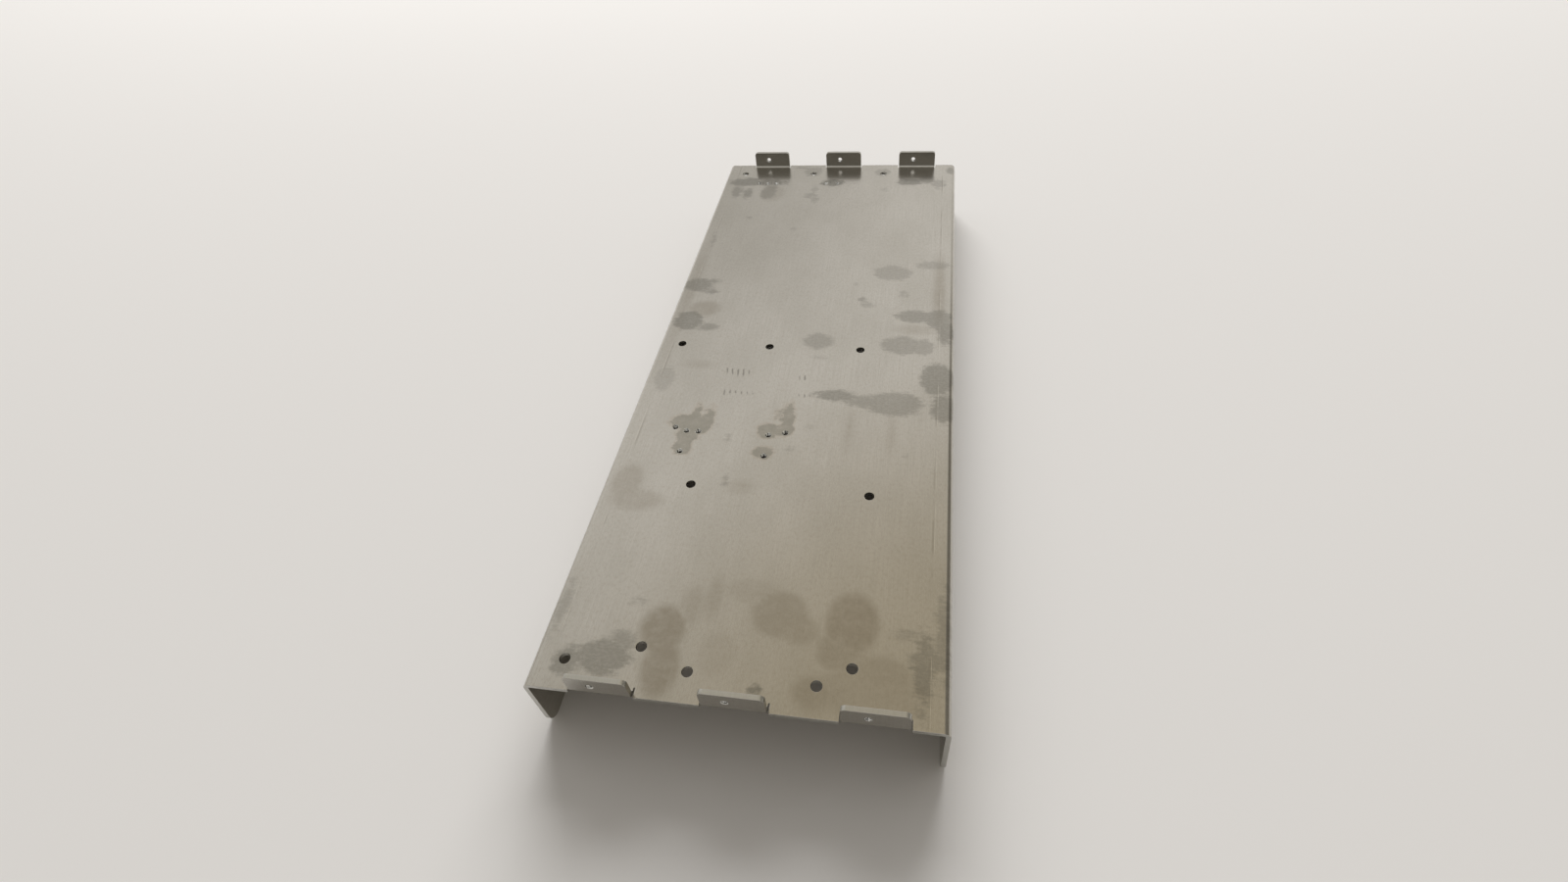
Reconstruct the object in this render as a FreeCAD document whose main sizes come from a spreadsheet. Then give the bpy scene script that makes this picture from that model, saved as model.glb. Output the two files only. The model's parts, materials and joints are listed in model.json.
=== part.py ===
import FreeCAD, Part
import math
import os
import Sketcher

# Sheet metal chassis: one laser-cut sheet folded on a press brake.
# A long flat web carries every hole. Its two long sides are folded down into flanges that it
# stands on, and three short mounting tabs are folded up at each end, between relief slits.
# X runs across the web, +Y runs towards the rear end and +Z is up. The origin is the centre
# of the footprint, on the plane of the flanges' lower edges.

doc = FreeCAD.newDocument("chassis")

# ---------------------------------------------------------------- driving dimensions, mm
DIMENSIONS = (
    ("overall_length", 392.5, "over the two cut ends of the web"),
    ("overall_width", 156.5, "over the outer faces of the flanges"),
    ("flange_depth", 34.5, "from the flanges' lower edges to the top of the web"),
    ("sheet_thickness", 2.0, "thickness of the sheet"),
    ("bend_inside", 1.0, "inside radius of every fold"),
    ("flange_corner", 6.0, "rounding of the flanges' lower corners"),
    ("tab_count", 3, "mounting tabs at each end"),
    ("tab_pitch", 50.0, "from one tab's tapped hole to the next"),
    ("tab_width", 24.0, "width of a tab"),
    ("tab_offset", 2.5, "from the tapped hole to the middle of its tab"),
    ("tab_height", 10.0, "from the top of the web to the top of a tab"),
    ("tab_corner", 2.0, "rounding of a tab's top corners"),
    ("tab_hole_height", 5.0, "from the top of the web to a tab's tapped hole"),
    ("relief_width", 0.6, "width of the slit beside a tab"),
    ("relief_run", 0.5, "straight run of that slit past the fold"),
    ("clearance_diameter", 4.3, "plain holes, for M4 screws"),
    ("tap_diameter", 2.5, "tapping drill, for M3 threads"),
    ("column_inset", 12.9, "from the left flange to the first column of plain holes"),
    ("column_pitch", 48.0, "between the columns of plain holes"),
    ("column_count", 3, "columns of plain holes"),
    ("row_inset", 12.0, "from either end to the outer rows of plain holes"),
    ("row_count", 3, "rows of plain holes"),
    ("square_column", -37.3, "left column of the square of plain holes"),
    ("square_inset", 20.0, "from the front end to the square of plain holes"),
    ("square_pitch", 80.0, "side of the square of plain holes"),
    ("pair_column", -47.4, "column of the left pair of tapped holes"),
    ("pair_pitch", 40.1, "from the left pair to the right pair of tapped holes"),
    ("pair_row", -63.6, "rear row of the two pairs"),
    ("pair_spacing", 13.2, "between the two holes of a pair"),
    ("clip_gap", 5.9, "from the left pair to the tapped hole on either side"),
    ("lug_gap", 7.8, "from the right pair to the tapped hole beside it"),
    ("clip_step", 1.9, "how far the outermost two of these sit behind the pairs"),
    ("rear_inset", 25.4, "from the rear end to the rear row of tapped holes"),
)

sizes = doc.addObject("Spreadsheet::Sheet", "sizes")
for row, (alias, amount, meaning) in enumerate(DIMENSIONS, start=1):
    sizes.set(f"A{row}", meaning)
    sizes.set(f"B{row}", str(amount))
    sizes.setAlias(f"B{row}", alias)
doc.recompute()

# ---------------------------------------------------------------- sizes that follow from them
HALF_WIDTH = "sizes.overall_width / 2"
HALF_LENGTH = "sizes.overall_length / 2"
WEB_TOP = "sizes.flange_depth"
BEND_OUTSIDE = "(sizes.bend_inside + sizes.sheet_thickness)"
FOLD_LINE = f"({BEND_OUTSIDE} - {HALF_LENGTH})"
BEND_CENTRE = "(sizes.flange_depth + sizes.bend_inside)"
FIRST_TAB = "(-(sizes.tab_count - 1) / 2 * sizes.tab_pitch)"
TAB_LEFT = f"({FIRST_TAB} + sizes.tab_offset - sizes.tab_width / 2)"
TAB_RIGHT = f"({FIRST_TAB} + sizes.tab_offset + sizes.tab_width / 2)"
TAB_TOP = "(sizes.flange_depth + sizes.tab_height)"
LEFT_PAIR = "sizes.pair_column"
RIGHT_PAIR = "(sizes.pair_column + sizes.pair_pitch)"
REAR_ROW = f"({HALF_LENGTH} - sizes.rear_inset)"

START, END, CENTRE = 1, 2, 3    # the points of a line or an arc, as the sketcher counts them
LEVEL_AXIS = -1                 # a sketch's own horizontal axis
ORIGIN = (LEVEL_AXIS, START)    # and its origin, where that axis starts


def measure(expression):
    """The number that an expression on the sheet stands for."""
    result = sizes.evalExpression(expression)
    return float(getattr(result, "Value", result))


def origin_feature(body, role):
    """One of the body's own origin planes or axes."""
    return next(item for item in body.Origin.OriginFeatures if item.Role == role)


def new_sketch(body, name, role, height="0"):
    """A sketch on one of the body's origin planes, moved along the plane's normal."""
    sketch = body.newObject("Sketcher::SketchObject", name)
    sketch.AttachmentSupport = [(origin_feature(body, role), "")]
    sketch.MapMode = "FlatFace"
    sketch.setExpression("AttachmentOffset.Base.z", height)
    return sketch


def bind(sketch, kind, points, expression):
    """A dimension that follows the sheet. It starts at its true value."""
    index = sketch.addConstraint(Sketcher.Constraint(kind, *points, measure(expression)))
    sketch.setExpression(f"Constraints[{index}]", expression)


def place_point(sketch, geometry, point, across, up):
    """Bind one point of the sketch to its place from the sketch's origin."""
    bind(sketch, "DistanceX", (*ORIGIN, geometry, point), across)
    bind(sketch, "DistanceY", (*ORIGIN, geometry, point), up)


def outline(sketch, corners):
    """A closed outline of straight lines, each level or upright, from its corners in order."""
    points = [FreeCAD.Vector(measure(across), measure(up), 0) for across, up in corners]
    count = len(points)
    for index, point in enumerate(points):
        following = points[(index + 1) % count]
        sketch.addGeometry(Part.LineSegment(point, following), False)
        level = abs(point.y - following.y) < abs(point.x - following.x)
        sketch.addConstraint(Sketcher.Constraint("Horizontal" if level else "Vertical", index))
    for index in range(count):
        sketch.addConstraint(Sketcher.Constraint("Coincident", index, END, (index + 1) % count, START))


def add_arc(sketch, centre, radius, first, last):
    """An arc about a centre, counter-clockwise from the first angle to the last, in degrees."""
    circle = Part.Circle(centre, FreeCAD.Vector(0, 0, 1), radius)
    return sketch.addGeometry(Part.ArcOfCircle(circle, math.radians(first), math.radians(last)), False)


def require_solved(sketch):
    """Stop if the sketch doesn't solve, or if anything in it could still move."""
    if sketch.solve() != 0 or not sketch.FullyConstrained:
        raise RuntimeError(f"{sketch.Name} isn't fully constrained")


def add_feature(body, kind, name, profile, **settings):
    """A feature on a finished profile. A text setting is bound to the sheet, or picks a choice."""
    require_solved(profile)
    feature = body.newObject(f"PartDesign::{kind}", name)
    feature.Profile = profile
    doc.recompute()
    for setting, wanted in settings.items():
        if isinstance(wanted, str) and "sizes." in wanted:
            feature.setExpression(setting, wanted)
        else:
            setattr(feature, setting, wanted)
    body.Tip = feature
    doc.recompute()
    return feature


def round_edges(body, name, base, radius, chosen):
    """Fillet the edges of the base feature that the test chosen picks."""
    edges = [f"Edge{index}" for index, edge in enumerate(base.Shape.Edges, start=1) if chosen(edge)]
    if not edges:
        raise RuntimeError(f"{name} found no edge")
    fillet = body.newObject("PartDesign::Fillet", name)
    fillet.Base = (base, edges)
    fillet.setExpression("Radius", radius)
    body.Tip = fillet
    doc.recompute()
    return fillet


NEAR = 1e-6                           # two heights or directions this close are the same
ALONG_X = FreeCAD.Vector(1, 0, 0)
ALONG_Y = FreeCAD.Vector(0, 1, 0)


def runs_along(edge, direction):
    """Whether a straight edge is parallel to a direction."""
    if not isinstance(edge.Curve, Part.Line):
        return False
    return edge.tangentAt(edge.FirstParameter).cross(direction).Length < NEAR


chassis = doc.addObject("PartDesign::Body", "chassis")
chassis.Label = "chassis"

# ---------------------------------------------------------------- channel: web and flanges
# The section is drawn with square corners. The folds are rounded after it, the outside
# by one sheet thickness more than the inside, so that the sheet keeps its thickness.
section = new_sketch(chassis, "channel_section", "XZ_Plane")
INNER_WIDTH = f"({HALF_WIDTH} - sizes.sheet_thickness)"
WEB_UNDERSIDE = "(sizes.flange_depth - sizes.sheet_thickness)"
outline(section, (
    (f"-{HALF_WIDTH}", "0"),
    (f"-{HALF_WIDTH}", WEB_TOP),
    (HALF_WIDTH, WEB_TOP),
    (HALF_WIDTH, "0"),
    (INNER_WIDTH, "0"),
    (INNER_WIDTH, WEB_UNDERSIDE),
    (f"-{INNER_WIDTH}", WEB_UNDERSIDE),
    (f"-{INNER_WIDTH}", "0"),
))
place_point(section, 0, START, f"-{HALF_WIDTH}", "0")
bind(section, "DistanceX", (0, START, 2, END), "sizes.overall_width")
bind(section, "DistanceY", (2, END, 2, START), WEB_TOP)
section.addConstraint(Sketcher.Constraint("Equal", 3, 7))
bind(section, "DistanceX", (4, START, 2, END), "sizes.sheet_thickness")
bind(section, "DistanceY", (5, START, 1, START), "sizes.sheet_thickness")
section.addConstraint(Sketcher.Constraint("PointOnObject", 3, END, LEVEL_AXIS))
channel = add_feature(chassis, "Pad", "channel", section, SideType="Symmetric", Length="sizes.overall_length")

inner_folds = round_edges(
    chassis, "inner_folds", channel, "sizes.bend_inside",
    lambda edge: runs_along(edge, ALONG_Y)
    and abs(edge.CenterOfMass.z - measure(WEB_UNDERSIDE)) < NEAR)
outer_folds = round_edges(
    chassis, "outer_folds", inner_folds, BEND_OUTSIDE,
    lambda edge: runs_along(edge, ALONG_Y)
    and abs(edge.CenterOfMass.z - measure(WEB_TOP)) < NEAR)
flange_corners = round_edges(
    chassis, "flange_corners", outer_folds, "sizes.flange_corner",
    lambda edge: runs_along(edge, ALONG_X)
    and abs(edge.CenterOfMass.z) < NEAR)

# ---------------------------------------------------------------- one mounting tab, at the front left
# The blank's end is cut away over the fold of the tab, and a slit with a round end runs
# past the fold on either side, so that the fold doesn't tear the web.
gap = new_sketch(chassis, "tab_gap_outline", "XY_Plane", WEB_TOP)
GAP_LEFT = f"({TAB_LEFT} - sizes.relief_width)"
GAP_RIGHT = f"({TAB_RIGHT} + sizes.relief_width)"
outline(gap, (
    (GAP_LEFT, f"-{HALF_LENGTH}"),
    (GAP_LEFT, FOLD_LINE),
    (GAP_RIGHT, FOLD_LINE),
    (GAP_RIGHT, f"-{HALF_LENGTH}"),
))
place_point(gap, 0, START, GAP_LEFT, f"-{HALF_LENGTH}")
place_point(gap, 2, START, GAP_RIGHT, FOLD_LINE)
tab_gap = add_feature(chassis, "Pocket", "tab_gap", gap, Type="Length", Length="sizes.sheet_thickness")


def relief_slit(sketch, left, right):
    """A slit from the fold line into the web, with a round end."""
    west, east = measure(left), measure(right)
    low, high = measure(FOLD_LINE), measure(f"{FOLD_LINE} + sizes.relief_run")
    corners = [FreeCAD.Vector(*point, 0) for point in ((west, low), (west, high), (east, high), (east, low))]
    middle = (corners[1] + corners[2]) / 2
    rise = sketch.addGeometry(Part.LineSegment(corners[0], corners[1]), False)
    crown = add_arc(sketch, middle, (east - west) / 2, 0, 180)
    fall = sketch.addGeometry(Part.LineSegment(corners[2], corners[3]), False)
    base = sketch.addGeometry(Part.LineSegment(corners[3], corners[0]), False)
    sketch.addConstraint(Sketcher.Constraint("Tangent", rise, END, crown, END))
    sketch.addConstraint(Sketcher.Constraint("Tangent", crown, START, fall, START))
    sketch.addConstraint(Sketcher.Constraint("Coincident", fall, END, base, START))
    sketch.addConstraint(Sketcher.Constraint("Coincident", base, END, rise, START))
    sketch.addConstraint(Sketcher.Constraint("Vertical", rise))
    sketch.addConstraint(Sketcher.Constraint("Vertical", fall))
    sketch.addConstraint(Sketcher.Constraint("Horizontal", base))
    place_point(sketch, rise, START, left, FOLD_LINE)
    bind(sketch, "DistanceX", (base, END, base, START), "sizes.relief_width")
    bind(sketch, "DistanceY", (rise, START, rise, END), "sizes.relief_run")


slits = new_sketch(chassis, "relief_slit_outlines", "XY_Plane", WEB_TOP)
relief_slit(slits, GAP_LEFT, TAB_LEFT)
relief_slit(slits, TAB_RIGHT, GAP_RIGHT)
relief_slits = add_feature(chassis, "Pocket", "relief_slits", slits, Type="Length",
                           Length="sizes.sheet_thickness")

# The fold is a quarter of a ring about its own centre, from the fold line up to the tab's plate.
ring = new_sketch(chassis, "tab_fold_section", "YZ_Plane", TAB_LEFT)
fold_centre = FreeCAD.Vector(measure(FOLD_LINE), measure(BEND_CENTRE), 0)
outer_arc = add_arc(ring, fold_centre, measure(BEND_OUTSIDE), 180, 270)
inner_arc = add_arc(ring, fold_centre, measure("sizes.bend_inside"), 180, 270)
arcs = [ring.Geometry[outer_arc], ring.Geometry[inner_arc]]
plate_joint = ring.addGeometry(Part.LineSegment(arcs[0].StartPoint, arcs[1].StartPoint), False)
web_joint = ring.addGeometry(Part.LineSegment(arcs[1].EndPoint, arcs[0].EndPoint), False)
ring.addConstraint(Sketcher.Constraint("Coincident", outer_arc, CENTRE, inner_arc, CENTRE))
ring.addConstraint(Sketcher.Constraint("Coincident", outer_arc, START, plate_joint, START))
ring.addConstraint(Sketcher.Constraint("Coincident", plate_joint, END, inner_arc, START))
ring.addConstraint(Sketcher.Constraint("Coincident", inner_arc, END, web_joint, START))
ring.addConstraint(Sketcher.Constraint("Coincident", web_joint, END, outer_arc, END))
ring.addConstraint(Sketcher.Constraint("Horizontal", plate_joint))
ring.addConstraint(Sketcher.Constraint("Vertical", web_joint))
ring.addConstraint(Sketcher.Constraint("Horizontal", outer_arc, CENTRE, outer_arc, START))
ring.addConstraint(Sketcher.Constraint("Vertical", outer_arc, CENTRE, outer_arc, END))
place_point(ring, outer_arc, CENTRE, FOLD_LINE, BEND_CENTRE)
bind(ring, "Radius", (outer_arc,), BEND_OUTSIDE)
bind(ring, "Radius", (inner_arc,), "sizes.bend_inside")
tab_fold = add_feature(chassis, "Pad", "tab_fold", ring, Type="Length", Length="sizes.tab_width")

# The plate stands on the fold, flush with the web's cut end. Its top corners are rounded.
plate = new_sketch(chassis, "tab_plate_outline", "XZ_Plane", HALF_LENGTH)
left, right = measure(TAB_LEFT), measure(TAB_RIGHT)
foot, top = measure(BEND_CENTRE), measure(TAB_TOP)
corner = measure("sizes.tab_corner")
plate_points = [FreeCAD.Vector(*point, 0) for point in (
    (left, foot), (left, top - corner), (left + corner, top),
    (right - corner, top), (right, top - corner), (right, foot))]
left_side = plate.addGeometry(Part.LineSegment(plate_points[0], plate_points[1]), False)
left_corner = add_arc(plate, FreeCAD.Vector(left + corner, top - corner, 0), corner, 90, 180)
top_edge = plate.addGeometry(Part.LineSegment(plate_points[2], plate_points[3]), False)
right_corner = add_arc(plate, FreeCAD.Vector(right - corner, top - corner, 0), corner, 0, 90)
right_side = plate.addGeometry(Part.LineSegment(plate_points[4], plate_points[5]), False)
lower_edge = plate.addGeometry(Part.LineSegment(plate_points[5], plate_points[0]), False)
plate.addConstraint(Sketcher.Constraint("Tangent", left_side, END, left_corner, END))
plate.addConstraint(Sketcher.Constraint("Tangent", left_corner, START, top_edge, START))
plate.addConstraint(Sketcher.Constraint("Tangent", top_edge, END, right_corner, END))
plate.addConstraint(Sketcher.Constraint("Tangent", right_corner, START, right_side, START))
plate.addConstraint(Sketcher.Constraint("Coincident", right_side, END, lower_edge, START))
plate.addConstraint(Sketcher.Constraint("Coincident", lower_edge, END, left_side, START))
for upright in (left_side, right_side):
    plate.addConstraint(Sketcher.Constraint("Vertical", upright))
for level in (top_edge, lower_edge):
    plate.addConstraint(Sketcher.Constraint("Horizontal", level))
plate.addConstraint(Sketcher.Constraint("Equal", left_corner, right_corner))
bind(plate, "Radius", (left_corner,), "sizes.tab_corner")
place_point(plate, lower_edge, END, TAB_LEFT, BEND_CENTRE)
bind(plate, "DistanceX", (lower_edge, END, lower_edge, START), "sizes.tab_width")
bind(plate, "DistanceY", (*ORIGIN, top_edge, START), TAB_TOP)
tab_plate = add_feature(chassis, "Pad", "tab_plate", plate, Reversed=True, Type="Length",
                        Length="sizes.sheet_thickness")


def drill(name, role, height, centres, diameter):
    """Drill holes of one diameter through one thickness of sheet, from a plane on its outer face."""
    sketch = new_sketch(chassis, f"{name}_centres", role, height)
    for index, (across, up) in enumerate(centres):
        spot = FreeCAD.Vector(measure(across), measure(up), 0)
        circle = Part.Circle(spot, FreeCAD.Vector(0, 0, 1), measure(diameter) / 2)
        sketch.addGeometry(circle, False)
        place_point(sketch, index, CENTRE, across, up)
        bind(sketch, "Diameter", (index,), diameter)
    return add_feature(chassis, "Hole", name, sketch, ThreadType="None", DepthType="Dimension",
                       Depth="sizes.sheet_thickness", DrillPoint="Flat", Diameter=diameter)


tab_hole = drill("tab_hole", "XZ_Plane", HALF_LENGTH,
                 ((FIRST_TAB, f"{WEB_TOP} + sizes.tab_hole_height"),), "sizes.tap_diameter")

# ---------------------------------------------------------------- the other tabs
# The same tab repeats across the front end, and the whole row is mirrored to the rear end.
tabs = chassis.newObject("PartDesign::MultiTransform", "tabs")
tabs.Originals = [tab_gap, relief_slits, tab_fold, tab_plate, tab_hole]
tab_row = chassis.newObject("PartDesign::LinearPattern", "tab_row")
tab_row.Direction = (origin_feature(chassis, "X_Axis"), [""])
tab_row.Mode = "Spacing"
tab_row.setExpression("Offset", "sizes.tab_pitch")
tab_row.setExpression("Occurrences", "sizes.tab_count")
both_ends = chassis.newObject("PartDesign::Mirrored", "both_ends")
both_ends.MirrorPlane = (origin_feature(chassis, "XZ_Plane"), [""])
tabs.Transformations = [tab_row, both_ends]
chassis.Tip = tabs
doc.recompute()


def repeat_hole(name, hole, columns, column_pitch, rows, row_span):
    """Repeat a hole over a grid. The columns keep a pitch, and the rows fill a span."""
    grid = chassis.newObject("PartDesign::LinearPattern", name)
    grid.Originals = [hole]
    grid.Direction = (origin_feature(chassis, "X_Axis"), [""])
    grid.Mode = "Spacing"
    grid.setExpression("Offset", column_pitch)
    grid.setExpression("Occurrences", columns)
    grid.Direction2 = (origin_feature(chassis, "Y_Axis"), [""])
    grid.Mode2 = "Extent"
    grid.setExpression("Length2", row_span)
    grid.setExpression("Occurrences2", rows)
    chassis.Tip = grid
    doc.recompute()
    return grid


# ---------------------------------------------------------------- plain holes in the web
# Three rows of three, the outer rows a fixed distance from the ends, and a square of four.
grid_hole = drill("grid_hole", "XY_Plane", WEB_TOP,
                  ((f"sizes.column_inset - {HALF_WIDTH}", f"sizes.row_inset - {HALF_LENGTH}"),),
                  "sizes.clearance_diameter")
grid_holes = repeat_hole("grid_holes", grid_hole, "sizes.column_count", "sizes.column_pitch",
                         "sizes.row_count", "sizes.overall_length - 2 * sizes.row_inset")
square_hole = drill("square_hole", "XY_Plane", WEB_TOP,
                    (("sizes.square_column", f"sizes.square_inset - {HALF_LENGTH}"),),
                    "sizes.clearance_diameter")
SQUARE_SIDE = 2                       # holes along each side of the square
square_holes = repeat_hole("square_holes", square_hole, str(SQUARE_SIDE), "sizes.square_pitch",
                           str(SQUARE_SIDE), "sizes.square_pitch")

# ---------------------------------------------------------------- tapped holes in the web
# Two pairs near the middle, with three single holes beside them, and one row near the rear
# end in the same columns.
LEFT_CLIP = f"({LEFT_PAIR} - sizes.clip_gap)"
INNER_CLIP = f"({LEFT_PAIR} + sizes.clip_gap)"
LUG = f"({RIGHT_PAIR} + sizes.lug_gap)"
PAIR_FRONT = "(sizes.pair_row - sizes.pair_spacing)"
STEPPED_ROW = "(sizes.pair_row + sizes.clip_step)"
MIDDLE_CENTRES = (
    (LEFT_PAIR, "sizes.pair_row"),
    (LEFT_PAIR, PAIR_FRONT),
    (RIGHT_PAIR, "sizes.pair_row"),
    (RIGHT_PAIR, PAIR_FRONT),
    (LEFT_CLIP, STEPPED_ROW),
    (INNER_CLIP, "sizes.pair_row"),
    (LUG, STEPPED_ROW),
)
REAR_CENTRES = tuple((column, REAR_ROW) for column in (LEFT_CLIP, LEFT_PAIR, INNER_CLIP, RIGHT_PAIR, LUG))
middle_tapped = drill("middle_tapped_holes", "XY_Plane", WEB_TOP, MIDDLE_CENTRES, "sizes.tap_diameter")
rear_tapped = drill("rear_tapped_holes", "XY_Plane", WEB_TOP, REAR_CENTRES, "sizes.tap_diameter")

# ---------------------------------------------------------------- checks and export
for item in doc.Objects:
    if "Invalid" in item.State or "Error" in item.State:
        raise RuntimeError(f"{item.Name} failed: {item.State}")
shape = chassis.Shape
if shape.isNull() or not shape.isValid() or len(shape.Solids) != 1:
    raise RuntimeError("the chassis isn't one sound solid")


def require_less(after, before, holes, diameter):
    """Check that a step took away as much sheet as its holes hold."""
    taken = before.Shape.Volume - after.Shape.Volume
    wanted = holes * math.pi / 4 * measure(diameter) ** 2 * measure("sizes.sheet_thickness")
    if abs(taken - wanted) > 0.001 * wanted:
        raise RuntimeError(f"{after.Name} took {taken:.3f} mm3, not {wanted:.3f} mm3")


grid_count = round(measure("sizes.column_count * sizes.row_count"))
require_less(grid_holes, tabs, grid_count, "sizes.clearance_diameter")
require_less(square_holes, grid_holes, SQUARE_SIDE ** 2, "sizes.clearance_diameter")
require_less(middle_tapped, square_holes, len(MIDDLE_CENTRES), "sizes.tap_diameter")
require_less(rear_tapped, middle_tapped, len(REAR_CENTRES), "sizes.tap_diameter")

os.makedirs("parts", exist_ok=True)
shape.exportStep("parts/chassis.step")
box = shape.BoundBox
print(f"chassis: {box.XLength:.2f} x {box.YLength:.2f} x {box.ZLength:.2f} mm, {shape.Volume:.0f} mm3,"
      f" {len(shape.Faces)} faces")
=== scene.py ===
import json
import math

import bmesh
import bpy
from mathutils import Matrix, Vector


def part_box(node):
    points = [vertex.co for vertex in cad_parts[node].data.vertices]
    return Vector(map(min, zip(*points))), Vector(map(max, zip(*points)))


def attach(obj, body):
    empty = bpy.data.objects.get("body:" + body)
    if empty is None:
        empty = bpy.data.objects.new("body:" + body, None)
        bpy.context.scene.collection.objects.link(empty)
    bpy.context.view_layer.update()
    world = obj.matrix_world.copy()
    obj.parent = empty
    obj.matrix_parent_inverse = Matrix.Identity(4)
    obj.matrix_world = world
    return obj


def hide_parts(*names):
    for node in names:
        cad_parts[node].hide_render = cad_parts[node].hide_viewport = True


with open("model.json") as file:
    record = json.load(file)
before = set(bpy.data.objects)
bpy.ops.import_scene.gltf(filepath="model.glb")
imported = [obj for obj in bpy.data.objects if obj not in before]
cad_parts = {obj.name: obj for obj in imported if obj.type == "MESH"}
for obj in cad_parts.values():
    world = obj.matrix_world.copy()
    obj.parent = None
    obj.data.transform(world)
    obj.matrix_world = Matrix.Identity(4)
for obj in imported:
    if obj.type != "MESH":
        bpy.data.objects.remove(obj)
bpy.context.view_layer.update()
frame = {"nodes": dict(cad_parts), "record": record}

# ---------------------------------------------------------------- folded sheet
# The whole chassis is one blank of 2 mm aluminium sheet, cut by laser and folded on a press
# brake: a web, a flange down each side and three small tabs up at each end. Its edges are
# broken with a deburring tool, and the surface is as it came from the mill and from handling.
MM = 0.001
THICKNESS = 2.0                       # sheet, mm
BEND_INSIDE = 1.0                     # inside radius of a fold, mm
BEND_OUTSIDE = BEND_INSIDE + THICKNESS
BEND_MIDDLE = (BEND_INSIDE + BEND_OUTSIDE) / 2
BEND_LENGTH = math.pi / 2 * BEND_MIDDLE
EDGE_BREAK = 0.12                     # width of the broken edges, mm
THREAD_SEAT = 1.55                    # radius that a tapped hole is opened to, for its thread, mm
TAB_HALF_WIDTH = 12.0
TAB_HOLE_OFFSET = 2.5                 # from a tab's hole to the middle of the tab, mm
SLACK = 0.01                          # what two places may differ by and still be the same, mm

mounts = {mount["name"]: mount for mount in frame["record"]["mounts"]}
tapped_holes = [mount for mount in mounts.values() if mount["kind"] == "threaded_hole"]
half_width, half_length = (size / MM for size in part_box("chassis")[1][:2])
web_top = mounts["web_face"]["pos_m"][2] / MM
tab_places = [mounts[f"front_tab_{side}"]["pos_m"][0] / MM + TAB_HOLE_OFFSET
              for side in ("left", "middle", "right")]


def linear(hex_colour):
    """An sRGB hex colour as the linear values that a shader takes."""
    channels = [int(hex_colour[i:i + 2], 16) / 255 for i in (1, 3, 5)]
    toned = [c / 12.92 if c <= 0.04045 else ((c + 0.055) / 1.055) ** 2.4 for c in channels]
    return (*toned, 1.0)


def add_node(tree, kind, settings=None, output=0, **links):
    """Add a node with its settings, and give back one of its outputs. Each link names an input,
    or gives its number after a _, and says what feeds it."""
    node = tree.nodes.new(kind)
    for name, value in (settings or {}).items():
        setattr(node, name, value)
    for name, value in links.items():
        socket = node.inputs[int(name[1:])] if name[0] == "_" else node.inputs[name.replace("_", " ")]
        if isinstance(value, bpy.types.NodeSocket):
            tree.links.new(value, socket)
        else:
            socket.default_value = value
    return node.outputs[output] if node.outputs else None


SMOOTH = {"interpolation_type": "SMOOTHSTEP"}   # a Map Range that eases in and out
COLOURS = {"data_type": "RGBA"}                 # a Mix that blends two colours


def on_blank(point):
    """Where a point of the sheet lies on the flat blank, across and along, and how deep, in mm."""
    x, y, z = (value / MM for value in point)
    across, along, depth = abs(x), abs(y), web_top - z
    flange_start, tab_start = half_width - BEND_OUTSIDE, half_length - BEND_OUTSIDE
    at_tab = any(abs(x - place) < TAB_HALF_WIDTH + SLACK for place in tab_places)
    if across > flange_start:
        out, drop = across - flange_start, web_top - BEND_OUTSIDE - z
        if drop > 0:
            across = flange_start + BEND_LENGTH + drop
            depth = BEND_OUTSIDE - out
        else:
            across = flange_start + BEND_MIDDLE * math.atan2(out, -drop)
            depth = BEND_OUTSIDE - math.hypot(out, drop)
    elif along > tab_start and at_tab:
        out, rise = along - tab_start, z - (web_top + BEND_INSIDE)
        if rise > 0:
            along = tab_start + BEND_LENGTH + rise
            depth = out - BEND_INSIDE
        else:
            along = tab_start + BEND_MIDDLE * math.atan2(out, -rise)
            depth = math.hypot(out, rise) - BEND_INSIDE
    return Vector((math.copysign(across, x), math.copysign(along, y), depth))


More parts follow.
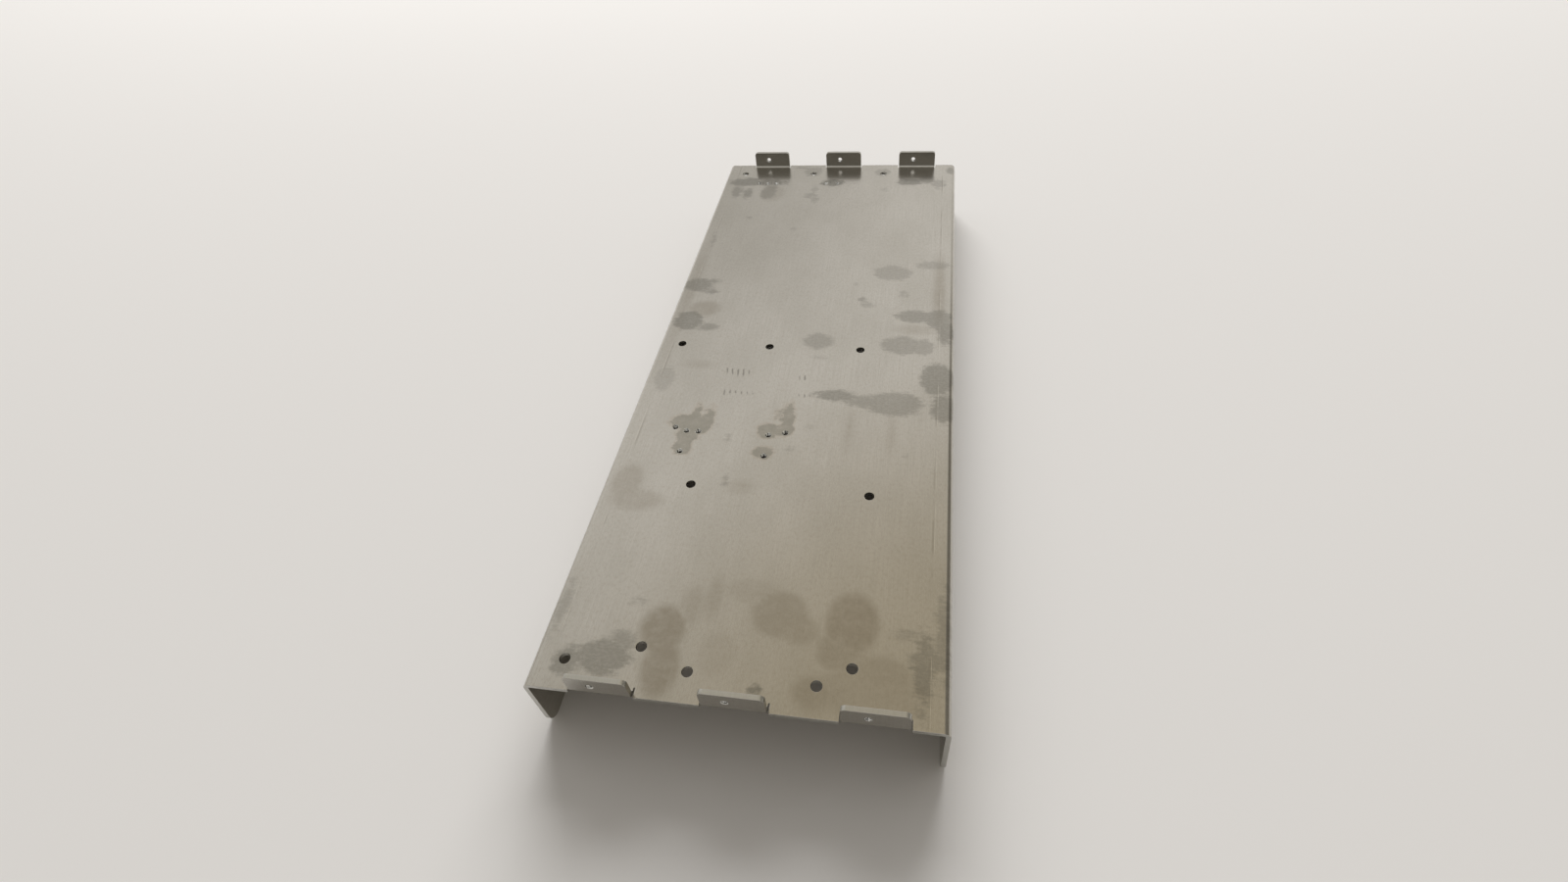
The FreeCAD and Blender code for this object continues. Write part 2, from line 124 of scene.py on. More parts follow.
# Marks of handling on the top of the web, each as its place and its half sizes on the blank, in mm,
# and its strength. Prints are greasy marks of fingers and palms, oil is what was left round the
# taps, haze is a thin brownish film, and scuffs are short scratches from something that slid across.
PRINTS = (
    (-63, 173, 13, 6, 0.7), (-67, 160, 4, 9, 0.55), (-59, 158, 4, 8, 0.6), (-45, 159, 6, 10, 0.5),
    (-45, 172, 13, 5, 0.6), (-18, 187, 7, 7, 0.4), (-27, 193, 5, 3, 0.4), (30, 186, 6, 6, 0.4),
    (-16, 155, 5, 4, 0.4), (-12, 151, 3, 6, 0.35), (-14, 164, 3, 6, 0.3), (-3, 172, 9, 5, 0.75),
    (49, 173, 10, 5, 0.65), (60, 176, 6, 6, 0.5), (68, 170, 5, 7, 0.45), (75, 188, 3, 6, 0.6),
    (33, 163, 3, 4, 0.2), (-53, 127, 3, 2, 0.4), (-21, 114, 2, 4, 0.25), (-70, 101, 2, 9, 0.4),
    (-69, 53, 10, 7, 0.6), (-60, 57, 5, 3, 0.55), (-60, 47, 5, 3, 0.55), (-67, 20, 9, 9, 0.65),
    (-55, 15, 8, 4, 0.5), (43, 69, 12, 8, 0.35), (66, 77, 10, 5, 0.35), (28, 43, 3, 3, 0.5),
    (31, 38, 4, 3, 0.35), (51, 49, 3, 5, 0.3), (23, 57, 2, 2, 0.3), (58, 29, 12, 6, 0.55),
    (70, 27, 8, 9, 0.55), (74, 17, 5, 12, 0.6), (52, 5, 12, 8, 0.45), (62, 4, 7, 7, 0.4),
    (8, 6, 9, 7, 0.42), (70, -20, 9, 13, 0.62), (73, -41, 6, 11, 0.62), (21, -35, 12, 5, 0.62),
    (36, -38, 11, 5, 0.5), (50, -39, 15, 9, 0.5), (-68, -28, 6, 10, 0.25), (9, -188, 3, 3, 0.8),
    (68, -174, 4, 19, 0.6), (70, -170, 9, 5, 0.5), (75, -158, 3, 22, 0.45), (-74, -162, 3, 14, 0.35),
    (60, -161, 5, 3, 0.35), (-44, -157, 4, 2, 0.4), (12, -57, 3, 2, 0.35), (4, -72, 4, 2, 0.3),
    (-22, -93, 2, 4, 0.4), (-26, -67, 2, 3, 0.35), (-51, -182, 12, 8, 0.6), (-65, -185, 6, 7, 0.6),
    (-45, -174, 7, 4, 0.5), (10, -7, 5, 2, 0.25), (57, -72, 2, 2, 0.3), (-33, -59, 2, 2, 0.3),
)
OIL = (
    (-48, -58, 9, 5, 0.62), (-45, -53, 2.5, 7, 0.62), (-38, -55, 2.5, 8, 0.62), (-41, -60, 5, 6, 0.62),
    (-46, -66, 6, 4, 0.6), (-47, -71, 4, 4, 0.6), (-47, -75, 5, 4, 0.6), (-8, -61, 5, 5, 0.6),
    (0.5, -52, 3, 10, 0.6), (0.5, -60, 4, 4, 0.6), (-5, -50, 1.5, 3.5, 0.5), (-8, -75, 5, 4, 0.6),
)
HAZE = (
    (-60, 31, 9, 7, 0.45), (-67, -97, 7, 10, 0.4), (-60, -107, 12, 6, 0.35), (70, 52, 3, 30, 0.5),
    (-52, -16, 8, 3, 0.25), (-14, -152, 3, 9, 0.35), (-8, -176, 7, 9, 0.2), (50, -185, 20, 10, 0.3),
    (58, 18, 10, 4, 0.3), (30, -57, 1.5, 12, 0.3), (50, -58, 2, 12, 0.3), (-15, -96, 6, 4, 0.25),
    (-42, 158, 8, 10, 0.25), (-31, -168, 9, 10, 0.7), (-28, -184, 7, 12, 0.65),
    (13, -157, 11, 10, 0.45), (0, -148, 10, 5, 0.22), (22, -163, 7, 6, 0.4), (-22, -157, 5, 9, 0.3),
    (41, -158, 10, 13, 0.6), (37, -170, 8, 8, 0.45), (52, -180, 13, 10, 0.35), (30, -187, 8, 6, 0.45),
    (-72, 45, 3, 50, 0.3),
)
SCUFFS = (
    (-30, -21, 7, 3, 1.0), (4, -23, 3, 2.5, 0.7), (-33, -36, 4, 2, 0.9), (-24, -36, 5, 1.5, 0.6),
    (5, -36, 3.5, 1.5, 0.8), (-37, -20, 2, 2.5, 1.0), (-46, 172, 9, 2, 0.7), (-6, 172, 5, 2, 0.7),
)
HAZE_FADE = 3.0                       # how wide the edge of a haze is, mm
UNMARKED = -9.0                       # how far inside a mark the underside and the cut edges are, mm


def inside_mark(point, marks):
    """How far a point is inside the nearest mark, in mm and negative outside, and its strength."""
    found = []
    for x, y, half_x, half_y, strength in marks:
        share = math.hypot((point.x - x) / half_x, (point.y - y) / half_y)
        found.append(((1 - share) * min(half_x, half_y), strength))
    return max(found)


sheet = frame["nodes"]["chassis"].copy()
sheet.name = "folded_sheet"
sheet.parent = None
for key in list(sheet.keys()):
    del sheet[key]
bpy.context.scene.collection.objects.link(sheet)

# The CAD triangles are joined, and those that lie in one plane become one face.
WELD = 0.001                          # points nearer than this are one point, mm
FLAT_ANGLE = math.radians(0.5)
blank = bmesh.new()
blank.from_mesh(frame["nodes"]["chassis"].data)
bmesh.ops.remove_doubles(blank, verts=blank.verts, dist=WELD * MM)
bmesh.ops.dissolve_limit(blank, angle_limit=FLAT_ANGLE, verts=blank.verts, edges=blank.edges)

# The tapped holes are opened out, to seat their threads.
thread_rims = set()
for hole in tapped_holes:
    middle, axis = Vector(hole["pos_m"]), Vector(hole["axis"])
    for vertex in blank.verts:
        along = (vertex.co - middle).dot(axis)
        spoke = vertex.co - middle - along * axis
        in_bore = abs(spoke.length - hole["dims"]["r_mm"] * MM) < 2 * SLACK * MM
        if abs(along) < (THICKNESS / 2 + SLACK) * MM and in_bore:
            vertex.co = middle + along * axis + spoke.normalized() * THREAD_SEAT * MM
            thread_rims.add(vertex)

# Every other edge that was cut is broken.
CUT_ANGLE = math.radians(30)          # an edge between two faces that turn more than this was cut
broken_edges = [edge for edge in blank.edges
                if edge.calc_face_angle(0) > CUT_ANGLE and not set(edge.verts) <= thread_rims]
bmesh.ops.bevel(blank, geom=broken_edges, offset=EDGE_BREAK * MM, offset_type="OFFSET", segments=2,
                profile=0.5, affect="EDGES", clamp_overlap=False, loop_slide=False)

# The outside of the web and of its folds is cut every 2 mm, so that each corner can hold its share
# of the marks.
SQUARE = 2.0
FOLD_MARGIN = BEND_OUTSIDE + 1        # no cut is nearer to an end or a side than this, mm
FACES_UP = 0.02                       # least height of the normal of a face that looks upwards
SHARP_ANGLE = math.radians(50)
fold_foot = (web_top - BEND_OUTSIDE) * MM
for axis, half_size in ((Vector((1, 0, 0)), half_width), (Vector((0, 1, 0)), half_length)):
    steps = int((half_size - FOLD_MARGIN) / SQUARE)
    for step in range(-steps, steps + 1):
        top_faces = [face for face in blank.faces
                     if face.normal.z > FACES_UP and face.calc_center_median().z > fold_foot]
        cut = {part for face in top_faces for part in (face, *face.edges, *face.verts)}
        bmesh.ops.bisect_plane(blank, geom=list(cut), dist=WELD / 10 * MM,
                               plane_co=axis * step * SQUARE * MM, plane_no=axis)
for face in blank.faces:
    face.smooth = True
for edge in blank.edges:
    edge.smooth = edge.calc_face_angle(0) < SHARP_ANGLE

# The faces are put in the order of their corners, so that each run gives the same mesh.
blank.verts.index_update()
ranked = sorted(blank.faces, key=lambda face: sorted(vertex.index for vertex in face.verts))
for rank, face in enumerate(ranked):
    face.index = rank
blank.faces.sort()
folded_mesh = bpy.data.meshes.new("folded_sheet")
blank.to_mesh(folded_mesh)
blank.free()
sheet.data = folded_mesh

# Large faces lead the shading, so that the web stays flat up to its broken edges.
level_normals = sheet.modifiers.new("level_normals", "WEIGHTED_NORMAL")
level_normals.weight = 100
level_normals.keep_sharp = True
depsgraph = bpy.context.evaluated_depsgraph_get()
finished = bpy.data.meshes.new_from_object(sheet.evaluated_get(depsgraph), preserve_all_data_layers=True,
                                           depsgraph=depsgraph)
sheet.modifiers.clear()
sheet.data = finished

# Each corner holds its place on the blank and, on the outside, how deep it is in each kind of mark.
places = sheet.data.attributes.new("on_blank", "FLOAT_VECTOR", "POINT")
dry_marks = sheet.data.attributes.new("dry_marks", "FLOAT_VECTOR", "POINT")
wet_marks = sheet.data.attributes.new("wet_marks", "FLOAT_VECTOR", "POINT")
for vertex in sheet.data.vertices:
    place = on_blank(vertex.co)
    places.data[vertex.index].vector = place
    if place.z < THICKNESS / 4:
        print_depth, print_strength = inside_mark(place, PRINTS)
        oil_depth, oil_strength = inside_mark(place, OIL)
        haze_depth, haze_strength = inside_mark(place, HAZE)
        scuff_depth, scuff_strength = inside_mark(place, SCUFFS)
        haze = min(max(haze_depth / HAZE_FADE + 0.5, 0.0), 1.0) * haze_strength
        scuff = min(scuff_depth, scuff_strength)
        dry_marks.data[vertex.index].vector = (print_depth, print_strength, scuff)
        wet_marks.data[vertex.index].vector = (oil_depth, oil_strength, haze)
    else:
        dry_marks.data[vertex.index].vector = (UNMARKED, 0, UNMARKED)
        wet_marks.data[vertex.index].vector = (UNMARKED, 0, 0)

# Mill-finish aluminium: bare rolled sheet. It is a warm light grey metal with fine streaks along
# the rolling direction and a soft, blurred reflection. Laser-cut edges are frosted, with fine
# lines across the thickness. The press brake's die leaves a thin worn line beside each long fold.
mill_finish = bpy.data.materials.new("mill_finish_aluminium")
mill_finish.use_nodes = True
tree = mill_finish.node_tree
shader = tree.nodes["Principled BSDF"]
shader.inputs["Metallic"].default_value = 1.0
place = add_node(tree, "ShaderNodeAttribute", {"attribute_name": "on_blank"}, "Vector")
across, along, depth = add_node(tree, "ShaderNodeSeparateXYZ", Vector=place).node.outputs
dry = add_node(tree, "ShaderNodeAttribute", {"attribute_name": "dry_marks"}, "Vector")
print_depth, print_strength, scuff_depth = add_node(tree, "ShaderNodeSeparateXYZ", Vector=dry).node.outputs
wet = add_node(tree, "ShaderNodeAttribute", {"attribute_name": "wet_marks"}, "Vector")
oil_depth, oil_strength, haze = add_node(tree, "ShaderNodeSeparateXYZ", Vector=wet).node.outputs

# Each pattern is noise on the blank, with the size of its grains across, along and deep, in mm. The
# streaks and the fine grain are drawn coarser than real ones, so that they show.
patterns = {}
for name, grain_size, detail, roughness in (
        ("streaks", (0.35, 30.0, 3.0), 4.0, 0.6),
        ("fine grain", (0.25, 1.6, 1.0), 2.0, 0.6),
        ("speckle", (1.4, 2.0, 2.0), 4.0, 0.7),
        ("clouds", (38.0, 60.0, 20.0), 4.0, 0.6),
        ("ragged", (5.0, 4.0, 4.0), 6.0, 0.75),
        ("wiped", (9.0, 1.6, 4.0), 4.0, 0.65),
        ("ridges", (1.9, 0.9, 2.0), 3.0, 0.7),
        ("cut lines", (0.3, 0.3, 3.0), 2.0, 0.5),
        ("wear", (6.0, 26.0, 9.0), 5.0, 0.7)):
    scaled = add_node(tree, "ShaderNodeVectorMath", {"operation": "DIVIDE"}, _0=place, _1=grain_size)
    patterns[name] = add_node(tree, "ShaderNodeTexNoise", Vector=scaled, Scale=1.0, Detail=detail,
                              Roughness=roughness)

# Each cover is how much of a tone lies over the bare metal. First come those of the metal itself.
covers = {}
for name, low, high, most in (
        ("clouds", 0.3, 0.7, 1.0), ("streaks", 0.3, 0.7, 0.35),
        ("fine grain", 0.35, 0.75, 0.3), ("speckle", 0.45, 0.75, 0.35)):
    covers[name] = add_node(tree, "ShaderNodeMapRange", SMOOTH, Value=patterns[name],
                            From_Min=low, From_Max=high, To_Min=0.0, To_Max=most)

# Prints have ragged, wiped edges and fine ridges inside.
print_edge = add_node(tree, "ShaderNodeMath", {"operation": "MULTIPLY_ADD"}, _0=patterns["ragged"], _1=8.0,
                      _2=print_depth)
print_edge = add_node(tree, "ShaderNodeMath", {"operation": "MULTIPLY_ADD"}, _0=patterns["wiped"], _1=4.0,
                      _2=print_edge)
print_body = add_node(tree, "ShaderNodeMapRange", SMOOTH, Value=print_edge, From_Min=5.4, From_Max=8.2)
ridges = add_node(tree, "ShaderNodeMapRange", SMOOTH, Value=patterns["ridges"],
                  From_Min=0.36, From_Max=0.6, To_Min=0.78, To_Max=1.06)
print_body = add_node(tree, "ShaderNodeMath", {"operation": "MULTIPLY"}, _0=print_body, _1=ridges)
covers["print"] = add_node(tree, "ShaderNodeMath", {"operation": "MULTIPLY"}, _0=print_body,
                           _1=print_strength)

# Oil has a sharper edge, with a thin brownish rim where it dried. Oil and haze are uneven films.
film = add_node(tree, "ShaderNodeMapRange", SMOOTH, Value=patterns["ragged"],
                From_Min=0.35, From_Max=0.6, To_Min=0.7, To_Max=1.0)
oil_edge = add_node(tree, "ShaderNodeMath", {"operation": "MULTIPLY_ADD"}, _0=patterns["ragged"], _1=6.0,
                    _2=oil_depth)
oil_rim = add_node(tree, "ShaderNodeMapRange", SMOOTH, Value=oil_edge,
                   From_Min=1.6, From_Max=3.0, To_Min=0.0, To_Max=0.3)
oil_body = add_node(tree, "ShaderNodeMapRange", SMOOTH, Value=oil_edge, From_Min=2.7, From_Max=3.6)
covers["oil rim"] = add_node(tree, "ShaderNodeMath", {"operation": "MULTIPLY"}, _0=oil_rim, _1=oil_strength)
oil_body = add_node(tree, "ShaderNodeMath", {"operation": "MULTIPLY"}, _0=oil_body, _1=film)
covers["oil"] = add_node(tree, "ShaderNodeMath", {"operation": "MULTIPLY"}, _0=oil_body, _1=oil_strength)
covers["haze"] = add_node(tree, "ShaderNodeMath", {"operation": "MULTIPLY"}, _0=film, _1=haze)

# Scuffs are strokes along the sheet, a little slanted.
STROKE_SPACING = 2.9
slanted = add_node(tree, "ShaderNodeMath", {"operation": "MULTIPLY_ADD"}, _0=along, _1=0.12, _2=across)
slanted = add_node(tree, "ShaderNodeMath", {"operation": "MULTIPLY_ADD"}, _0=patterns["ragged"], _1=2.0,
                   _2=slanted)
stroke = add_node(tree, "ShaderNodeMath", {"operation": "PINGPONG"}, _0=slanted, _1=STROKE_SPACING / 2)
stroke = add_node(tree, "ShaderNodeMapRange", SMOOTH, Value=stroke,
                  From_Min=0.2, From_Max=0.6, To_Min=0.6, To_Max=0.0)
scuffed = add_node(tree, "ShaderNodeMath", {"operation": "MULTIPLY_ADD"}, _0=patterns["ragged"], _1=5.0,
                   _2=scuff_depth)
scuffed = add_node(tree, "ShaderNodeMapRange", SMOOTH, Value=scuffed, From_Min=2.0, From_Max=3.3)
covers["scuff"] = add_node(tree, "ShaderNodeMath", {"operation": "MULTIPLY"}, _0=stroke, _1=scuffed)

# The die's line is bright where it is fresh and rubbed dark beside it. Each has its place and half
# its width on the blank, in mm.
either_side = add_node(tree, "ShaderNodeMath", {"operation": "ABSOLUTE"}, _0=across)
for name, middle, reach, low, high, most in (
        ("die rub", 70.2, 0.5, 0.45, 0.65, 0.35),
        ("die line", 70.8, 0.14, 0.47, 0.62, 0.5)):
    band = add_node(tree, "ShaderNodeMath", {"operation": "COMPARE"}, _0=either_side, _1=middle, _2=reach)
    worn = add_node(tree, "ShaderNodeMapRange", SMOOTH, Value=patterns["wear"],
                    From_Min=low, From_Max=high, To_Min=0.0, To_Max=most)
    covers[name] = add_node(tree, "ShaderNodeMath", {"operation": "MULTIPLY"}, _0=band, _1=worn)

# The cut edges lie between the two faces of the blank, within their broken edges.
CUT_FROM, CUT_FULL = 0.08, 0.14       # how deep the frosted edge starts, and is whole, mm
below_top = add_node(tree, "ShaderNodeMapRange", SMOOTH, Value=depth, From_Min=CUT_FROM, From_Max=CUT_FULL)
above_bottom = add_node(tree, "ShaderNodeMapRange", SMOOTH, Value=depth, From_Min=THICKNESS - CUT_FULL,
                        From_Max=THICKNESS - CUT_FROM, To_Min=1.0, To_Max=0.0)
covers["cut edge"] = add_node(tree, "ShaderNodeMath", {"operation": "MULTIPLY"}, _0=below_top,
                              _1=above_bottom)
lined = add_node(tree, "ShaderNodeMapRange", SMOOTH, Value=patterns["cut lines"],
                 From_Min=0.3, From_Max=0.7, To_Min=0.0, To_Max=0.3)
covers["cut line"] = add_node(tree, "ShaderNodeMath", {"operation": "MULTIPLY"}, _0=lined,
                              _1=covers["cut edge"])

# The tones lie one over the other, from the bare metal to the lines of the cut.
colour = linear("#B9B6AE")
for name, tone in (
        ("clouds", "#C4C1BA"), ("streaks", "#ACA9A0"), ("fine grain", "#D1CEC7"), ("speckle", "#A8A093"),
        ("haze", "#938B7D"), ("oil rim", "#A5917B"), ("oil", "#86857B"), ("print", "#83817A"),
        ("scuff", "#6B6861"), ("die rub", "#8F8A7F"), ("die line", "#DAD7CF"),
        ("cut edge", "#BBBAB4"), ("cut line", "#D0CFCA")):
    colour = add_node(tree, "ShaderNodeMix", COLOURS, 2, _0=covers[name], _6=colour, _7=linear(tone))
tree.links.new(colour, shader.inputs["Base Color"])

# Prints are duller than the bare metal, oil is glossier, and the frosted cut edges are dullest.
dullness = add_node(tree, "ShaderNodeMath", {"operation": "MULTIPLY_ADD"}, _0=patterns["streaks"], _1=0.08,
                    _2=0.17)
for name, change in (("print", 0.05), ("oil", -0.03), ("cut edge", 0.18)):
    dullness = add_node(tree, "ShaderNodeMath", {"operation": "MULTIPLY_ADD"}, _0=covers[name], _1=change,
                        _2=dullness)
tree.links.new(dullness, shader.inputs["Roughness"])

# The grain and the lines of the cut stand up, and the die's line is pressed in.
GRAIN_HEIGHT = 0.02
height = patterns["streaks"]
for raised, amount in (
        (patterns["fine grain"], 0.4), (covers["cut line"], 2.0), (covers["die line"], -1.5)):
    height = add_node(tree, "ShaderNodeMath", {"operation": "MULTIPLY_ADD"}, _0=raised, _1=amount,
                      _2=height)
bump = add_node(tree, "ShaderNodeBump", Height=height, Strength=0.35, Distance=GRAIN_HEIGHT * MM)
tree.links.new(bump, shader.inputs["Normal"])

sheet.data.materials.clear()
sheet.data.materials.append(mill_finish)
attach(sheet, "root")
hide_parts("chassis")

# ---------------------------------------------------------------- tapped threads
# Twelve holes in the web and one in each tab are tapped M3, straight into the sheet. A tap cuts
# about four turns in 2 mm, with a light countersink at each mouth.
PITCH = 0.5                           # of an M3 thread, mm
CREST_RADIUS = 1.25
ROOT_RADIUS = 1.50
SEGMENTS, ROWS = 48, 33               # round the bore, and up it

threads = bpy.data.objects.new("tapped_threads", bpy.data.meshes.new("tapped_threads"))
bpy.context.scene.collection.objects.link(threads)
threads.data.from_pydata([hole["pos_m"] for hole in tapped_holes], [], [])
axes = threads.data.attributes.new("hole_axis", "FLOAT_VECTOR", "POINT")
for index, hole in enumerate(tapped_holes):
    axes.data[index].vector = hole["axis"]

# Freshly cut aluminium: the bright, clean metal that a tap leaves. Its near-white stripes down the bore
# are painted glints of light on the thread's flanks, drawn coarser than real glints, so that they show.
GLINT_STRIPE = (0.45, 0.45, 6.0)              # width, width and length of a stripe, mm
GLINT_STRIPE_HEIGHT = 0.02
glint_painted_thread = bpy.data.materials.new("cut_aluminium_painted_glints")
glint_painted_thread.use_nodes = True
tree = glint_painted_thread.node_tree
shader = tree.nodes["Principled BSDF"]
shader.inputs["Metallic"].default_value = 1.0
shader.inputs["Roughness"].default_value = 0.2
where = add_node(tree, "ShaderNodeTexCoord", output="Object")
scaled = add_node(tree, "ShaderNodeVectorMath", {"operation": "DIVIDE"}, _0=where,
                  _1=[size * MM for size in GLINT_STRIPE])
glint_stripes = add_node(tree, "ShaderNodeTexNoise", Vector=scaled, Scale=1.0, Detail=2.0)
painted_glints = add_node(tree, "ShaderNodeMapRange", SMOOTH, Value=glint_stripes, From_Min=0.42, From_Max=0.56)
# A grey and a near-white are mixed in stripes down the bore: the near-white stripes are painted glints.
colour = add_node(tree, "ShaderNodeMix", COLOURS, 2, _0=painted_glints, _6=linear("#7E7D79"), _7=linear("#FAFAF7"))
tree.links.new(colour, shader.inputs["Base Color"])
bump = add_node(tree, "ShaderNodeBump", Height=glint_stripes, Strength=0.3, Distance=GLINT_STRIPE_HEIGHT * MM)
tree.links.new(bump, shader.inputs["Normal"])

tapping = bpy.data.node_groups.new("tapping", "GeometryNodeTree")
tapping.interface.new_socket("Geometry", in_out="INPUT", socket_type="NodeSocketGeometry")
tapping.interface.new_socket("Geometry", in_out="OUTPUT", socket_type="NodeSocketGeometry")
sizes = {"Pitch": PITCH * MM, "Crest Radius": CREST_RADIUS * MM, "Root Radius": ROOT_RADIUS * MM,
         "Seat Radius": THREAD_SEAT * MM, "Depth": THICKNESS * MM}
for name, size in sizes.items():
    tapping.interface.new_socket(name, in_out="INPUT", socket_type="NodeSocketFloat").default_value = size
given = add_node(tapping, "NodeGroupInput").node.outputs
grid = add_node(tapping, "GeometryNodeMeshGrid", Size_X=1.0, Size_Y=1.0, Vertices_X=SEGMENTS + 1,
                Vertices_Y=ROWS + 3)
spot = add_node(tapping, "GeometryNodeInputPosition")
column, row, _ = add_node(tapping, "ShaderNodeSeparateXYZ", Vector=spot).node.outputs

# The rows climb the bore, and the last three close the ring behind the thread, at the seat.
turn = add_node(tapping, "ShaderNodeMath", {"operation": "ADD"}, _0=column, _1=0.5)
row = add_node(tapping, "ShaderNodeMath", {"operation": "MULTIPLY_ADD"}, _0=row, _1=ROWS + 2.0,
               _2=(ROWS + 2.0) / 2)
share = add_node(tapping, "ShaderNodeMath", {"operation": "DIVIDE", "use_clamp": True}, _0=row,
                 _1=ROWS - 1.0)
upward = add_node(tapping, "ShaderNodeMath", {"operation": "SUBTRACT"}, _0=share, _1=0.5)
level = add_node(tapping, "ShaderNodeMath", {"operation": "MULTIPLY"}, _0=upward, _1=given["Depth"])

# The groove turns once in each pitch, from the crest to the root and back.
phase = add_node(tapping, "ShaderNodeMath", {"operation": "DIVIDE"}, _0=level, _1=given["Pitch"])
phase = add_node(tapping, "ShaderNodeMath", {"operation": "SUBTRACT"}, _0=phase, _1=turn)
groove = add_node(tapping, "ShaderNodeMath", {"operation": "PINGPONG"}, _0=phase, _1=0.5)
wall = add_node(tapping, "ShaderNodeMapRange", Value=groove, From_Min=0.0, From_Max=0.5,
                To_Min=given["Crest Radius"], To_Max=given["Root Radius"])

# A countersink at 45 degrees opens each mouth to the root.
from_middle = add_node(tapping, "ShaderNodeMath", {"operation": "ABSOLUTE"}, _0=level)
half_depth = add_node(tapping, "ShaderNodeMath", {"operation": "MULTIPLY"}, _0=given["Depth"], _1=0.5)
from_mouth = add_node(tapping, "ShaderNodeMath", {"operation": "SUBTRACT"}, _0=half_depth, _1=from_middle)
flare = add_node(tapping, "ShaderNodeMath", {"operation": "SUBTRACT"}, _0=given["Root Radius"],
                 _1=from_mouth)
wall = add_node(tapping, "ShaderNodeMath", {"operation": "MAXIMUM"}, _0=wall, _1=flare)

# Past the top row the ring goes out to the seat, down behind the thread, and in to the lower mouth.
at_seat, at_foot, closing = [
    add_node(tapping, "ShaderNodeMath", {"operation": "GREATER_THAN"}, _0=row, _1=start)
    for start in (ROWS - 0.5, ROWS + 0.5, ROWS + 1.5)]
radius = add_node(tapping, "ShaderNodeMix", _0=at_seat, _2=wall, _3=given["Seat Radius"])
radius = add_node(tapping, "ShaderNodeMix", _0=closing, _2=radius, _3=given["Root Radius"])
dropped = add_node(tapping, "ShaderNodeMath", {"operation": "MULTIPLY"}, _0=at_foot, _1=given["Depth"])
level = add_node(tapping, "ShaderNodeMath", {"operation": "SUBTRACT"}, _0=level, _1=dropped)

angle = add_node(tapping, "ShaderNodeMath", {"operation": "MULTIPLY"}, _0=turn, _1=2 * math.pi)
x, y = [add_node(tapping, "ShaderNodeMath", {"operation": "MULTIPLY"}, _1=radius,
                 _0=add_node(tapping, "ShaderNodeMath", {"operation": wave}, _0=angle))
        for wave in ("COSINE", "SINE")]
ring = add_node(tapping, "ShaderNodeCombineXYZ", X=x, Y=y, Z=level)
wrapped = add_node(tapping, "GeometryNodeSetPosition", Geometry=grid, Position=ring)
closed = add_node(tapping, "GeometryNodeMergeByDistance", Geometry=wrapped, Distance=2 * WELD * MM)
axis = add_node(tapping, "GeometryNodeInputNamedAttribute", {"data_type": "FLOAT_VECTOR"}, Name="hole_axis")
facing = add_node(tapping, "FunctionNodeAlignRotationToVector", {"axis": "Z"}, Vector=axis)
placed = add_node(tapping, "GeometryNodeInstanceOnPoints", Points=given["Geometry"], Instance=closed,
                  Rotation=facing)
real = add_node(tapping, "GeometryNodeRealizeInstances", Geometry=placed)
finished = add_node(tapping, "GeometryNodeSetMaterial", Geometry=real, Material=glint_painted_thread)
add_node(tapping, "NodeGroupOutput", Geometry=finished)

modifier = threads.modifiers.new("tapping", "NODES")
modifier.node_group = tapping
for item in tapping.interface.items_tree:
    if item.in_out == "INPUT" and item.name in sizes:
        modifier[item.identifier] = sizes[item.name]
evaluated = threads.evaluated_get(bpy.context.evaluated_depsgraph_get())
thread_mesh = bpy.data.meshes.new_from_object(evaluated)
threads.modifiers.clear()
threads.data = thread_mesh
turned = bmesh.new()
turned.from_mesh(threads.data)
bmesh.ops.recalc_face_normals(turned, faces=turned.faces)
turned.to_mesh(threads.data)
turned.free()
threads.data.shade_smooth()
MOUTH_ANGLE = math.radians(60)        # the shading breaks where the faces turn more than this
threads.data.set_sharp_from_angle(angle=MOUTH_ANGLE)
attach(threads, "root")

# ---------------------------------------------------------------- floor
# The table is covered with a white cotton cloth, matt and woven. It is drawn plain and flat, and
# wide enough for every view.
REACH = 4                             # from its middle to a side, m
corners = [(-REACH, -REACH, 0), (REACH, -REACH, 0), (REACH, REACH, 0), (-REACH, REACH, 0)]
floor_mesh = bpy.data.meshes.new("floor")
floor_mesh.from_pydata(corners, [], [(0, 1, 2, 3)])
floor = bpy.data.objects.new("floor", floor_mesh)
bpy.context.scene.collection.objects.link(floor)
cloth = bpy.data.materials.new("white_cotton_cloth")
cloth.use_nodes = True
shader = cloth.node_tree.nodes["Principled BSDF"]
shader.inputs["Base Color"].default_value = linear("#F0EEEC")
shader.inputs["Roughness"].default_value = 0.9
shader.inputs["Specular IOR Level"].default_value = 0.1
floor.data.materials.append(cloth)

# ---------------------------------------------------------------- light and camera
# Soft light from overhead and behind, as in a room with a pale wall behind the table. What is seen,
# straight or in the metal, is the room. The cloth is lit from overhead and by one broad lamp behind
# the chassis, which isn't seen in the metal and throws the shadow forward.
world = bpy.data.worlds.new("studio")
world.use_nodes = True
tree = world.node_tree
direction = add_node(tree, "ShaderNodeTexCoord", output="Generated")
glow = {"room": linear("#BAB6AC"), "overhead": linear("#B5B3AF")}

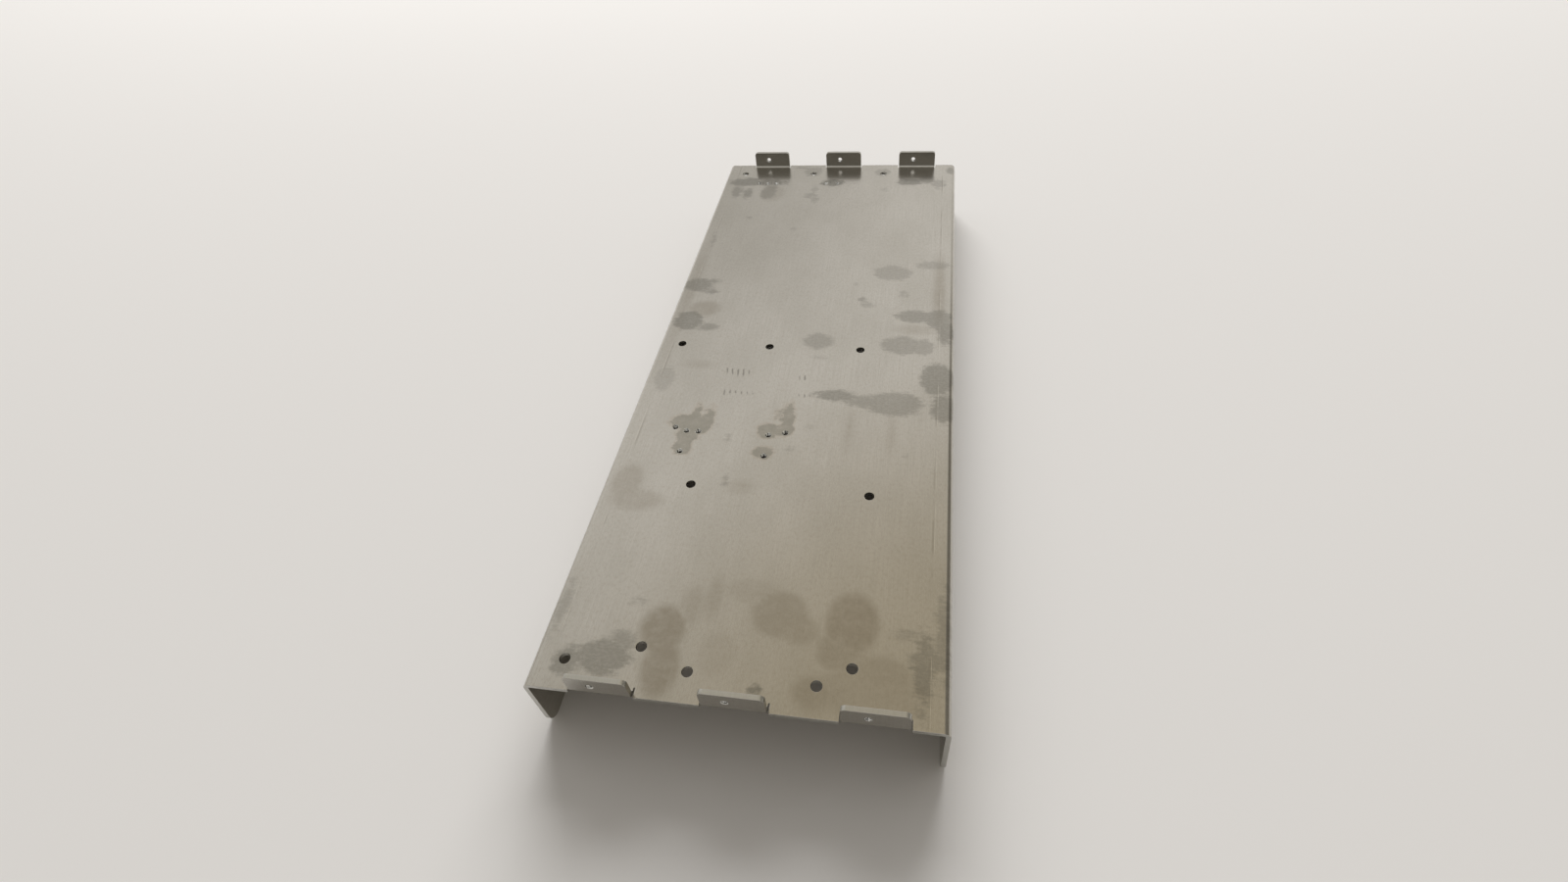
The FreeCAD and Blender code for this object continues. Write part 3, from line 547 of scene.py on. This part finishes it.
# Each patch is where it lies, how near to that a direction starts to show it and shows it whole,
# as cosines, and its tone.
for part, toward, low, high, tone in (
        ("room", (-0.26, 0.86, 0.30), 0.45, 0.85, "#F1EEEA"),           # a pale wall
        ("room", (0.10, 0.30, 0.95), 0.84, 1.00, "#C4B9A3"),            # the ceiling
        ("room", (0.0, -0.55, 0.83), 0.80, 0.94, "#FFFFFF"),            # the lamp on the ceiling
        ("room", (0.75, 0.45, 0.50), 0.86, 0.95, "#827D73"),            # shelves
        ("room", (-0.36, 0.86, 0.36), 0.93, 0.99, "#D2CFCA"),           # a doorway in the wall
        ("room", (0.0, -0.95, 0.30), 0.60, 0.95, "#918E89"),            # the dark side of the room
        ("overhead", (0.0, -0.96, 0.28), -0.30, 0.70, "#8F8A82")):      # less light from that side
    near = add_node(tree, "ShaderNodeVectorMath", {"operation": "DOT_PRODUCT"}, "Value", _0=direction,
                    _1=toward)
    share = add_node(tree, "ShaderNodeMapRange", SMOOTH, Value=near, From_Min=low, From_Max=high)
    glow[part] = add_node(tree, "ShaderNodeMix", COLOURS, 2, _0=share, _6=glow[part], _7=linear(tone))
rays = add_node(tree, "ShaderNodeLightPath").node.outputs
seen = add_node(tree, "ShaderNodeMath", {"operation": "MAXIMUM"}, _0=rays["Is Camera Ray"],
                _1=rays["Is Glossy Ray"])
seen = add_node(tree, "ShaderNodeMath", {"operation": "MAXIMUM"}, _0=seen, _1=rays["Is Transmission Ray"])
sky = add_node(tree, "ShaderNodeMix", COLOURS, 2, _0=seen, _6=glow["overhead"], _7=glow["room"])
tree.links.new(sky, tree.nodes["Background"].inputs["Color"])
bpy.context.scene.world = world

lamp = bpy.data.objects.new("soft_light", bpy.data.lights.new("soft_light", "AREA"))
bpy.context.scene.collection.objects.link(lamp)
lamp.data.shape = "DISK"
lamp.data.size = 3.4
lamp.data.energy = 160
lamp.location = (-0.35, 3.3, 2.0)
lamp.rotation_euler = (-lamp.location).to_track_quat("-Z", "Y").to_euler()
lamp.visible_glossy = False
lamp.visible_camera = False

# The camera looks down along the chassis, from in front of its right corner.
camera = bpy.data.objects.new("camera", bpy.data.cameras.new("camera"))
bpy.context.scene.collection.objects.link(camera)
right = Vector((0.98480, 0.15253, -0.08307))
up = Vector((-0.05610, 0.73197, 0.67902))
back = Vector((0.16438, -0.66404, 0.72941))
camera.matrix_world = (Matrix.Translation((0.058731, -0.301286, 0.291989))
                       @ Matrix((right, up, back)).transposed().to_4x4())
camera.data.sensor_width = 36.0
camera.data.lens = 17.353
camera.data.clip_start = 0.01
bpy.context.scene.camera = camera
bpy.context.scene.view_settings.view_transform = "Standard"
